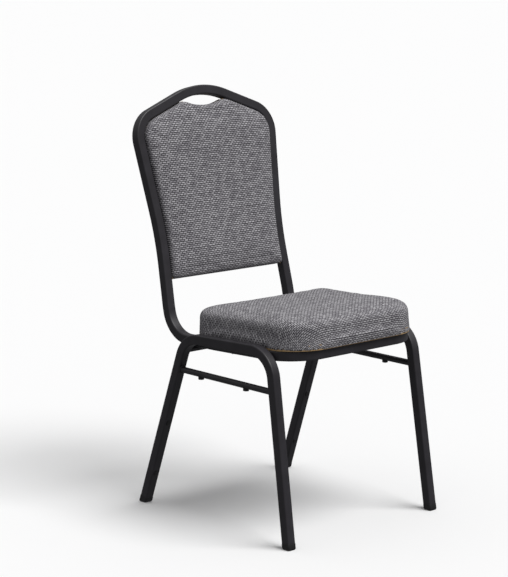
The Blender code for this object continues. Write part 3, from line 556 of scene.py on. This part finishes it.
for side_name, leg_plane in LEG_PLANES.items():
    for place_name, y in zip(("front", "rear"), BUMPER_YS):
        groove_radii = np.linspace(BUMPER_CENTRE, 1.0, GROOVE_RINGS) * BUMPER / 2
        edge = np.linspace(0, math.pi / 2, EDGE_RINGS)
        round_radii = BUMPER / 2 - BUMPER_EDGE * (1 - np.cos(edge))
        round_heights = BUMPER_LOW + BUMPER_EDGE * (1 - np.sin(edge))
        sole_radii = (np.linspace(1.0, BUMPER_CENTRE, SOLE_RINGS + 1)[1:]
                      * (BUMPER / 2 - BUMPER_EDGE))
        radii = np.concatenate([groove_radii, round_radii, sole_radii])
        turn = circle(1.0, BAR_SIDES)
        along = y + radii[:, None] * turn[:, 0]
        out = radii[:, None] * turn[:, 1]
        groove = -np.sqrt((BAR / 2 + GAP) ** 2 - out ** 2)
        below = np.concatenate([np.zeros(GROOVE_RINGS), round_heights,
                                np.full(SOLE_RINGS, BUMPER_LOW)])[:, None]
        heights = np.where(np.arange(len(radii))[:, None] < GROOVE_RINGS, groove, below)
        rings = in_world(leg_plane, np.stack([along, STRETCHER_Z + heights, out], axis=-1))
        name = f"{side_name}_{place_name}_bumper_pad"
        add_piece(name, ring_mesh(name, rings), black_nylon,
                  [f"{side_name}_{place_name}_bumper"], sharp=50)

# ---------------------------------------------------------------- leg buttons
# Domed black nylon buttons pushed into holes in the front faces of the rear legs. They keep a
# stacked frame's paint off this one.

BUTTON_ZS = {"lower": 0.079, "upper": 0.208}
BUTTON = 0.0130
BUTTON_RIM = 0.0008
BUTTON_RISE = 0.0016
BUTTON_STEM = 0.0064
BUTTON_STEM_LONG = 0.0060


def turned(profile, sides, centre, across, up, out):
    """A profile of (radius, height) points turned about the out direction through a centre."""
    profile = np.asarray(profile, float)
    around = circle(1.0, sides)
    flat = around[:, :1] * across + around[:, 1:] * up
    return centre + profile[:, None, :1] * flat + profile[:, None, 1:] * out


dome_angle = np.linspace(0.04, math.pi / 2, 12)
dome = np.stack([BUTTON / 2 * np.sin(dome_angle),
                 GAP + BUTTON_RIM + BUTTON_RISE * np.cos(dome_angle)], axis=1)
button_profile = np.concatenate([dome, [(BUTTON / 2, GAP + 0.0002), (BUTTON / 2 - 0.0002, GAP),
                                        (BUTTON_STEM / 2, GAP), (BUTTON_STEM / 2, -BUTTON_STEM_LONG),
                                        (BUTTON_STEM / 5, -BUTTON_STEM_LONG - BUTTON_STEM / 2)]])
for side_name, leg_plane in LEG_PLANES.items():
    for level, height in BUTTON_ZS.items():
        out = np.array([-math.cos(REAR_RAKE), -math.sin(REAR_RAKE), 0.0])
        middle = np.array([REAR_FOOT_Y - math.tan(REAR_RAKE) * height, height, 0.0])
        centre = in_world(leg_plane, middle + out * TUBE / 2)
        out = out @ leg_plane[1]
        across = leg_plane[1][2]
        rings = turned(button_profile, 40, centre, across, np.cross(out, across), out)
        name = f"{side_name}_{level}_push_button"
        add_piece(name, ring_mesh(name, rings), black_nylon,
                  [f"{side_name}_{level}_button"], sharp=40)

# ---------------------------------------------------------------- boards and fixings
# Poplar plywood boards carry the padding. Zinc-plated screws come up through tabs welded in the
# hoops, into T-nuts in the seat board and straight into the back board; nylon clips hold the rear
# panel on.

# Rotary-cut poplar ply: pale, with long soft grain along the board and 1.5 mm plies at its edges.
PLY_PALE = "#c9ae84"
PLY_DARK = "#a98a60"
PLY_THICK = 0.0015
PLY_GRAINS = 420.0           # grain lines to a metre across the board
poplar_ply, tree, shader = new_material("poplar_plywood")
place = add_node(tree, "TexCoord")
stretched = add_node(tree, "Mapping", {"Vector": place.outputs["Object"], "Scale": (0.06, 1.0, 1.0)})
grain = add_node(tree, "TexNoise", {"Vector": stretched.outputs["Vector"], "Scale": PLY_GRAINS,
                                    "Detail": 5.0, "Roughness": 0.65})
plies = add_node(tree, "TexWave", {"Vector": place.outputs["Object"],
                                   "Scale": math.pi / (10 * PLY_THICK), "Distortion": 0.6},
                 wave_type="BANDS", bands_direction="Z")
both = add_node(tree, "Math", {0: grain.outputs["Fac"], 1: plies.outputs["Fac"]},
                operation="MULTIPLY")
shade = add_node(tree, "ValToRGB", {"Fac": both.outputs["Value"]})
shade.color_ramp.elements[0].color = linear(PLY_DARK)
shade.color_ramp.elements[1].color = linear(PLY_PALE)
bump = add_node(tree, "Bump", {"Height": grain.outputs["Fac"], "Strength": 0.3, "Distance": 0.0003})
tree.links.new(shade.outputs["Color"], shader.inputs["Base Color"])
tree.links.new(bump.outputs["Normal"], shader.inputs["Normal"])
shader.inputs["Roughness"].default_value = 0.72

# Bright zinc plate on mild steel, barrel plated: slightly blue and cloudy, with tiny dull spots.
ZINC_BRIGHT = "#b9bcc0"
ZINC_CLOUDS = 700.0          # dull spots to a metre
zinc_plate, tree, shader = new_material("bright_zinc_plate")
place = add_node(tree, "TexCoord")
cloud = add_node(tree, "TexNoise", {"Vector": place.outputs["Object"], "Scale": ZINC_CLOUDS,
                                    "Detail": 4.0})
gloss = add_node(tree, "MapRange", {"Value": cloud.outputs["Fac"], "To Min": 0.22, "To Max": 0.48})
tree.links.new(gloss.outputs["Result"], shader.inputs["Roughness"])
shader.inputs["Base Color"].default_value = linear(ZINC_BRIGHT)
shader.inputs["Metallic"].default_value = 1.0


def refinish(name, material):
    """Give a CAD node its real finish in each of its material slots."""
    for material_slot in nodes[name].material_slots:
        material_slot.material = material


for name in nodes:
    if name.endswith("_tab"):
        refinish(name, powder_coat)
    elif name.endswith("_board"):
        refinish(name, poplar_ply)
    elif name.endswith("_screw") or name.endswith("_tee_nut"):
        refinish(name, zinc_plate)
    elif name.endswith("_clip"):
        refinish(name, black_nylon)

# ---------------------------------------------------------------- seat cushion
# A block of 54 mm seat foam on the board, under one piece of tweed pulled down all round, turned
# under the board and stapled. The pull rounds the edges and crowns the top.

CUSHION_HALF = leg_x(RAIL_TOP_Z + BAR_RISE) - TUBE / 2 - 0.0012
CUSHION_FRONT = SEAT_FRONT_Y - TUBE / 2 - 0.0090
CUSHION_REAR = 0.0630
CUSHION_LOW = TUBE / 2 + GAP / 2
CUSHION_TOP = CUSHION_LOW + 0.0665   # top of the side walls, with the foam's edge rounded over
CUSHION_EDGE = 0.020
CUSHION_CROWN = 0.0035
CUSHION_SIDE_PULL = 0.0006           # the foam block is cut this much inside the finished side
CUSHION_CORNERS = (0.092, 0.030, 0.030, 0.092)    # left front, left rear, right rear, right front
CUSHION_MIDDLE = (0.0, -0.11)
CUSHION_VOXEL = 0.005
CLOTH_PRESSURE = 4.0
CLOTH_FRAMES = 20
SWELL_GAIN = 1.6             # a point may move this many times its cap
SIDE_SWELL, TOP_SWELL = 0.0025, 0.0045
SIDE_SWELL_RISE = 0.6        # share of the height over which the side's cap changes
TOP_SWELL_REACH = 0.10
OUTLINE_STEP = 0.003


def smooth_outline(points, passes):
    """An outline at even steps, its corners eased by averaging each point with its neighbours."""
    loop = np.concatenate([points, points[:1]])
    distance = np.concatenate([[0], np.cumsum(np.linalg.norm(np.diff(loop, axis=0), axis=1))])
    even = np.linspace(0, distance[-1], int(distance[-1] / OUTLINE_STEP), endpoint=False)
    outline = np.stack([np.interp(even, distance, loop[:, k]) for k in (0, 1)], axis=1)
    for _ in range(passes):
        outline = (np.roll(outline, 1, axis=0) + 2 * outline + np.roll(outline, -1, axis=0)) / 4
    return outline


def outward(outline):
    """Unit normals of an anticlockwise outline: its direction turned a quarter clockwise."""
    along = np.roll(outline, -1, axis=0) - np.roll(outline, 1, axis=0)
    return unit(np.stack([along[:, 1], -along[:, 0]], axis=1))


def nearest(points, outline):
    """Distance from each point to an outline, and which of its points is the nearest."""
    index = np.empty(len(points), int)
    distance = np.empty(len(points))
    for chunk in np.array_split(np.arange(len(points)), max(1, len(points) // 4000)):
        gap = np.linalg.norm(points[chunk, None] - outline[None], axis=2)
        index[chunk] = gap.argmin(axis=1)
        distance[chunk] = gap.min(axis=1)
    return distance, index


def pad_rings(outline, centre, low, top, edge, crown, crown_reach):
    """Rings of a pad from the middle of its underside, up its wall and over to its middle.

    A face point at distance d from the outline stands at top, less the drop of a quarter circle
    of radius edge for d under edge, plus crown times one less the exponential of -d / crown_reach.
    """
    spread = np.linalg.norm(outline - centre, axis=1).min()
    rings = []
    for share in (0.02, 0.3, 0.6, 0.85, 0.97, 1.0):
        plan = centre + (outline - centre) * share
        rings.append(np.column_stack([plan, np.full(len(plan), low)]))
    for share in np.linspace(0.1, 0.9, 7):
        rings.append(np.column_stack([outline, np.full(len(outline), low + (top - edge - low) * share)]))
    inset = np.concatenate([edge * (1 - np.cos(np.linspace(0, math.pi / 2, 9))),
                            edge + (spread - edge) * np.linspace(0.02, 0.98, 26) ** 1.3])
    for distance in inset:
        plan = centre + (outline - centre) * (1 - distance / spread)
        d = np.clip(nearest(plan, outline)[0], 0, None)
        fall = edge - np.sqrt(np.clip(edge ** 2 - np.clip(edge - d, 0, edge) ** 2, 0, None))
        lift = crown * (1 - np.exp(-d / crown_reach))
        rings.append(np.column_stack([plan, top - fall + lift]))
    return np.stack(rings)


def inflate(mesh, voxel, caps, is_held):
    """Blow a pad up as cloth under pressure from inside, and give its new mesh.

    The mesh is remeshed in voxels, and points where is_held is 1 stay. A point that the cloth
    moves by m goes 1.6 times m * cap / (m + cap), so it never moves further than 1.6 times its cap.
    """
    scene = bpy.context.scene
    work = bpy.data.objects.new("pad_at_work", mesh)
    scene.collection.objects.link(work)
    remesh = work.modifiers.new("even_cloth", "REMESH")
    remesh.mode = "VOXEL"
    remesh.voxel_size = voxel
    bpy.context.view_layer.update()
    even = bpy.data.meshes.new_from_object(work.evaluated_get(bpy.context.evaluated_depsgraph_get()))
    work.modifiers.clear()
    work.data = even
    before = np.empty(len(even.vertices) * 3)
    even.vertices.foreach_get("co", before)
    before = before.reshape(-1, 3)
    held = work.vertex_groups.new(name="held")
    held.add(np.flatnonzero(is_held(before)).tolist(), 1.0, "REPLACE")
    cloth = work.modifiers.new("cloth", "CLOTH")
    cloth.settings.vertex_group_mass = "held"
    cloth.settings.use_pressure = True
    cloth.settings.uniform_pressure_force = CLOTH_PRESSURE
    cloth.settings.effector_weights.gravity = 0.0
    cloth.point_cache.frame_start = 1
    cloth.point_cache.frame_end = CLOTH_FRAMES
    for frame_number in range(1, CLOTH_FRAMES + 1):
        scene.frame_set(frame_number)
    blown = work.evaluated_get(bpy.context.evaluated_depsgraph_get()).to_mesh()
    after = np.empty(len(blown.vertices) * 3)
    blown.vertices.foreach_get("co", after)
    after = after.reshape(-1, 3)
    scene.frame_set(1)
    move = after - before
    length = np.linalg.norm(move, axis=1, keepdims=True)
    cap = caps(before)[:, None]
    settled = before + move * (cap / np.maximum(length + cap, 1e-9)) * SWELL_GAIN
    bpy.data.objects.remove(work)
    even.vertices.foreach_set("co", settled.ravel())
    even.update()
    return even


def coordinates(mesh):
    """A mesh's points as an array."""
    points = np.empty(len(mesh.vertices) * 3)
    mesh.vertices.foreach_get("co", points)
    return points.reshape(-1, 3)


def to_plane(working_plane, points):
    """World points in a plane's own coordinates."""
    return (points - working_plane[0]) @ working_plane[1].T


def lay_weave(mesh, working_plane, outline, edge, wall_top):
    """Give each point its place in the flat cloth, in metres, as the attribute weave.

    On the face that is its place in the plane. Over the edge it is the nearest place on the
    outline, moved outwards by the drop below the wall's top.
    """
    local = to_plane(working_plane, coordinates(mesh))
    distance, index = nearest(local[:, :2], outline)
    near_edge = np.clip(1 - distance / edge, 0, 1)
    drop = np.clip(wall_top - local[:, 2], 0, None) * near_edge
    place = local[:, :2] + outward(outline)[index] * drop[:, None]
    weave = mesh.attributes.new("weave", "FLOAT_VECTOR", "POINT")
    weave.data.foreach_set("vector", np.column_stack([place, np.zeros(len(place))]).ravel())


# Polyester contract tweed: near-black warp, and a pale heather weft that floats over it in short
# staggered dashes. Each float is about 7.6 mm long and 2.4 mm wide, drawn coarser than such a
# cloth's own so that it shows, and stands about 0.3 mm proud.
TWEED_PALE = "#c4c2c6"
TWEED_HEATHER = "#8f8c92"
TWEED_GROUND = "#2b2a2d"
TWEED_GROUND_PALE = "#4b494d"
TWEED_CREASE = "#141315"
CENTIMETRES = 100.0          # the floats' and threads' sizes below are in these
FLOAT_LONG, FLOAT_WIDE, FLOAT_GAP = 0.98, 0.46, 0.11
THREAD_LONG, THREAD_WIDE, THREAD_GAP = 0.16, 0.23, 0.03
YARN_WANDER = (0.0016, 0.0010, 0.0)
YARN_WANDERS = 110.0         # to a metre, as are the fibres
FIBRES = 1500.0
tweed, tree, shader = new_material("grey_contract_tweed")
place = add_node(tree, "Attribute", attribute_name="weave")
wander = add_node(tree, "TexNoise", {"Vector": place.outputs["Vector"], "Scale": YARN_WANDERS,
                                     "Detail": 2.0})
cloth_place = add_node(tree, "VectorMath", {0: wander.outputs["Color"], 1: YARN_WANDER,
                                            2: place.outputs["Vector"]}, operation="MULTIPLY_ADD")
floats = add_node(tree, "TexBrick", {"Vector": cloth_place.outputs["Vector"], "Scale": CENTIMETRES,
                                     "Color1": linear(TWEED_HEATHER), "Color2": linear(TWEED_PALE),
                                     "Mortar": linear(TWEED_GROUND), "Mortar Size": FLOAT_GAP,
                                     "Mortar Smooth": 0.55, "Bias": 0.1, "Brick Width": FLOAT_LONG,
                                     "Row Height": FLOAT_WIDE}, offset=0.5)
threads = add_node(tree, "TexBrick", {"Vector": cloth_place.outputs["Vector"], "Scale": CENTIMETRES,
                                      "Color1": linear(TWEED_GROUND),
                                      "Color2": linear(TWEED_GROUND_PALE),
                                      "Mortar": linear(TWEED_CREASE), "Mortar Size": THREAD_GAP,
                                      "Mortar Smooth": 0.8, "Bias": -0.1, "Brick Width": THREAD_LONG,
                                      "Row Height": THREAD_WIDE}, offset=0.5)
cloth = add_node(tree, "Mix", {0: floats.outputs["Fac"], 6: floats.outputs["Color"],
                               7: threads.outputs["Color"]}, data_type="RGBA")
fibres = add_node(tree, "TexNoise", {"Vector": place.outputs["Vector"], "Scale": FIBRES,
                                     "Detail": 3.0})
worn = add_node(tree, "MapRange", {"Value": fibres.outputs["Fac"], "From Min": 0.3, "From Max": 0.7,
                                   "To Min": 0.78, "To Max": 1.18})
yarn = add_node(tree, "VectorMath", {0: cloth.outputs[2], 1: worn.outputs["Result"]},
                operation="MULTIPLY")
proud = add_node(tree, "Math", {0: floats.outputs["Fac"], 1: -1.0, 2: 1.0}, operation="MULTIPLY_ADD")
height = add_node(tree, "Math", {0: fibres.outputs["Fac"], 1: 0.35, 2: proud.outputs["Value"]},
                  operation="MULTIPLY_ADD")
bump = add_node(tree, "Bump", {"Height": height.outputs["Value"], "Strength": 0.7,
                               "Distance": 0.0004})
tree.links.new(yarn.outputs["Vector"], shader.inputs["Base Color"])
tree.links.new(bump.outputs["Normal"], shader.inputs["Normal"])
shader.inputs["Roughness"].default_value = 0.92
shader.inputs["Specular IOR Level"].default_value = 0.15
shader.inputs["Sheen Weight"].default_value = 0.12
shader.inputs["Sheen Roughness"].default_value = 0.5


def add_pad(name, mesh, stands_for, blown):
    """Show a stuffed tweed piece. A blown one gets a subdivision to round what the voxels left."""
    piece = add_piece(name, mesh, tweed, stands_for, sharp=80)
    if blown:
        finer = piece.modifiers.new("finer_cloth", "SUBSURF")
        finer.levels = 1
        finer.render_levels = 1
    return piece


def arc(centre, radius, start, end):
    """Points of an arc: its centre plus radius times cosine and sine, in even steps."""
    angle = np.radians(np.linspace(start, end, 24))
    return centre + radius * np.stack([np.cos(angle), np.sin(angle)], axis=1)


def cushion_outline(inset):
    """The seat's outline, anticlockwise from the right front corner, drawn in by inset."""
    half = CUSHION_HALF - inset
    front, rear = CUSHION_FRONT + inset, CUSHION_REAR - inset
    left_front, left_rear, right_rear, right_front = np.array(CUSHION_CORNERS) - inset
    return np.concatenate([
        arc((-half + right_front, front + right_front), right_front, 180, 270),
        arc((half - left_front, front + left_front), left_front, 270, 360),
        arc((half - left_rear, rear - left_rear), left_rear, 0, 90),
        arc((-half + right_rear, rear - right_rear), right_rear, 90, 180)])


block_outline = smooth_outline(cushion_outline(CUSHION_SIDE_PULL), 4)
rings = pad_rings(block_outline, np.array(CUSHION_MIDDLE), CUSHION_LOW, CUSHION_TOP, CUSHION_EDGE,
                  CUSHION_CROWN, 0.05)
mesh = ring_mesh("seat_cushion", in_world(seat_plane, rings))


def cushion_caps(points):
    """How far the cushion may swell: little near the board, most in the middle of the top."""
    local = to_plane(seat_plane, points)
    up = np.clip((local[:, 2] - CUSHION_LOW) / (CUSHION_TOP - CUSHION_LOW), 0, 1)
    inside = np.clip(nearest(local[:, :2], block_outline)[0] / TOP_SWELL_REACH, 0, 1)
    return SIDE_SWELL * np.sin(math.pi * np.clip(up, 0, SIDE_SWELL_RISE)) + TOP_SWELL * up * inside


def on_seat_board(points):
    """1 on the underside of the cushion."""
    return to_plane(seat_plane, points)[:, 2] < CUSHION_LOW + 0.004


mesh = inflate(mesh, CUSHION_VOXEL, cushion_caps, on_seat_board)
lay_weave(mesh, seat_plane, block_outline, 0.028, CUSHION_TOP)
add_pad("seat_cushion", mesh, ["seat_cover", "seat_foam"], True)

# ---------------------------------------------------------------- dust cover
# Black spun-bonded cloth stapled flat under the board, over the turned-under edge of the tweed.

LINING_HALF = RAIL_X - TUBE / 2 - GAP - 0.024 - 0.006
LINING_FRONT = SEAT_FRONT_Y + TUBE / 2 + 0.006
LINING_REAR = CUSHION_REAR - 0.0018 - 0.006
LINING_CORNERS = ((-1, -1, 0.055), (1, -1, 0.055), (1, 1, 0.012), (-1, 1, 0.012))
LINING_THICK = 0.0005
LINING_BLACK = "#1b1b1c"
LINING_DOTS = 520.0          # bonding dots to a metre

lining_cloth, tree, shader = new_material("black_spun_bonded_lining")
place = add_node(tree, "TexCoord")
dots = add_node(tree, "TexVoronoi", {"Vector": place.outputs["Object"], "Scale": LINING_DOTS})
bump = add_node(tree, "Bump", {"Height": dots.outputs["Distance"], "Strength": 0.6,
                               "Distance": 0.0002})
tree.links.new(bump.outputs["Normal"], shader.inputs["Normal"])
shader.inputs["Base Color"].default_value = linear(LINING_BLACK)
shader.inputs["Roughness"].default_value = 0.85

middle_y = (LINING_FRONT + LINING_REAR) / 2
reach_y = (LINING_REAR - LINING_FRONT) / 2
corners = []
for sx, sy, radius in LINING_CORNERS:
    start = {(-1, -1): 180, (1, -1): 270, (1, 1): 0, (-1, 1): 90}[sx, sy]
    corners.append(arc((sx * (LINING_HALF - radius), middle_y + sy * (reach_y - radius)), radius,
                       start, start + 90))
lining_outline = smooth_outline(np.concatenate(corners), 0)
shares = np.linspace(0.02, 1.0, 30)[:, None, None]
plan = (0, middle_y) + (lining_outline - (0, middle_y)) * shares
lining_low = TUBE / 2 - LINING_THICK
gather = 0.0002 * np.sin(plan[..., :1] * 210 + 3 * np.sin(plan[..., 1:] * 60)) * (1 - shares)
rings = np.concatenate([plan, lining_low - 0.0001 + gather], axis=-1)
back_rings = np.concatenate([plan, TUBE / 2 - 0.0001 + gather], axis=-1)
mesh = ring_mesh("seat_lining", in_world(seat_plane, np.concatenate([rings, back_rings[::-1]])))
lining = add_piece("seat_lining", mesh, lining_cloth, ["seat_dust_cover"])

# ---------------------------------------------------------------- back pad
# A shaped plywood board with foam and tweed on its front, screwed from behind to four tabs inside
# the hoop. Its top edge dips for the hand hole under the crown.

PAD_SIDE_GAP = 0.0010
PAD_BOTTOM = BACK_BASE + 0.1242
HOLE_MIDDLE = BACK_BASE + 0.5233
HOLE_BEND = 0.160
PAD_FACE = TUBE / 2 + 0.0125 - 0.0025
PAD_EDGE = 0.0105
PAD_CROWN = 0.0020
PAD_SWELL, PAD_EDGE_SWELL = 0.0035, 0.0004
PAD_SWELL_REACH = 0.05
PAD_VOXEL = 0.0045


def hoop_side(away):
    """Half the hoop's line in the plane of the back, moved inwards by away, at even steps."""
    corners = back_corners()
    line = bent_line(np.concatenate([corners, corners[-2:-1] * (-1, 1, 1)]),
                     [WAIST_BEND, SHOULDER_BEND, CROWN_BEND])[:, :2]
    steps = np.concatenate([[0], np.cumsum(np.linalg.norm(np.diff(line, axis=0), axis=1))])
    even = np.arange(0, steps[-1], 0.001)
    line = np.stack([np.interp(even, steps, line[:, k]) for k in (0, 1)], axis=1)
    along = unit(np.gradient(line, axis=0))
    moved = line + away * np.stack([-along[:, 1], along[:, 0]], axis=1)
    return moved[moved[:, 0] > 0]


def back_outline(inset):
    """Outline of the back: beside the hoop, level below, and hollowed on top by an arc."""
    side = hoop_side(TUBE / 2 + PAD_SIDE_GAP + inset)
    hollow = np.array([0.0, HOLE_MIDDLE + HOLE_BEND])
    reach = HOLE_BEND + inset
    side = side[(side[:, 1] > PAD_BOTTOM + inset)]
    outside = np.linalg.norm(side - hollow, axis=1) > reach
    side = side[:np.argmin(outside)] if not outside.all() else side
    first = side[0] * (1, 0) + (0, PAD_BOTTOM + inset)
    corner = side[-1] - hollow
    sweep = math.degrees(math.atan2(corner[1], corner[0]))
    top = arc(hollow, reach, sweep, -90)[1:]
    half = np.concatenate([[first], side, top])
    return np.concatenate([half, half[-2::-1] * (-1, 1)])


pad_outline = smooth_outline(back_outline(0.0008), 5)
pad_centre = np.array([0.0, (PAD_BOTTOM + HOLE_MIDDLE) / 2])
rings = pad_rings(pad_outline, pad_centre, 0.0, PAD_FACE, PAD_EDGE, PAD_CROWN, 0.03)
mesh = ring_mesh("back_pad", in_world(back_plane, rings))


def pad_caps(points):
    """How far the back pad may swell: nothing at the board, most in the middle of its face."""
    local = to_plane(back_plane, points)
    up = np.clip(local[:, 2] / PAD_FACE, 0, 1)
    inside = np.clip(nearest(local[:, :2], pad_outline)[0] / PAD_SWELL_REACH, 0, 1)
    return PAD_EDGE_SWELL + PAD_SWELL * up * inside


def on_back_board(points):
    """1 on the rear of the pad."""
    return to_plane(back_plane, points)[:, 2] < 0.003


mesh = inflate(mesh, PAD_VOXEL, pad_caps, on_back_board)
lay_weave(mesh, back_plane, pad_outline, 0.016, PAD_FACE)
add_pad("back_pad", mesh, ["back_cover", "back_foam"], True)

# ---------------------------------------------------------------- rear panel
# A thin board with 3 mm of foam under the same tweed. It covers the screws and presses onto the
# front board with four nylon clips.

PANEL_FRONT = 0.0070
PANEL_FACE = 0.0143
PANEL_EDGE = 0.0045
rear_plane = plane(back_plane[0], (-1, 0, 0), back_plane[1][1])
rings = pad_rings(pad_outline, pad_centre, PANEL_FRONT, PANEL_FACE, PANEL_EDGE, 0.0015, 0.03)
mesh = ring_mesh("rear_panel", in_world(rear_plane, rings))
lay_weave(mesh, rear_plane, pad_outline, 0.012, PANEL_FACE)
add_pad("rear_panel", mesh, ["rear_panel_cover", "rear_panel_foam"], False)
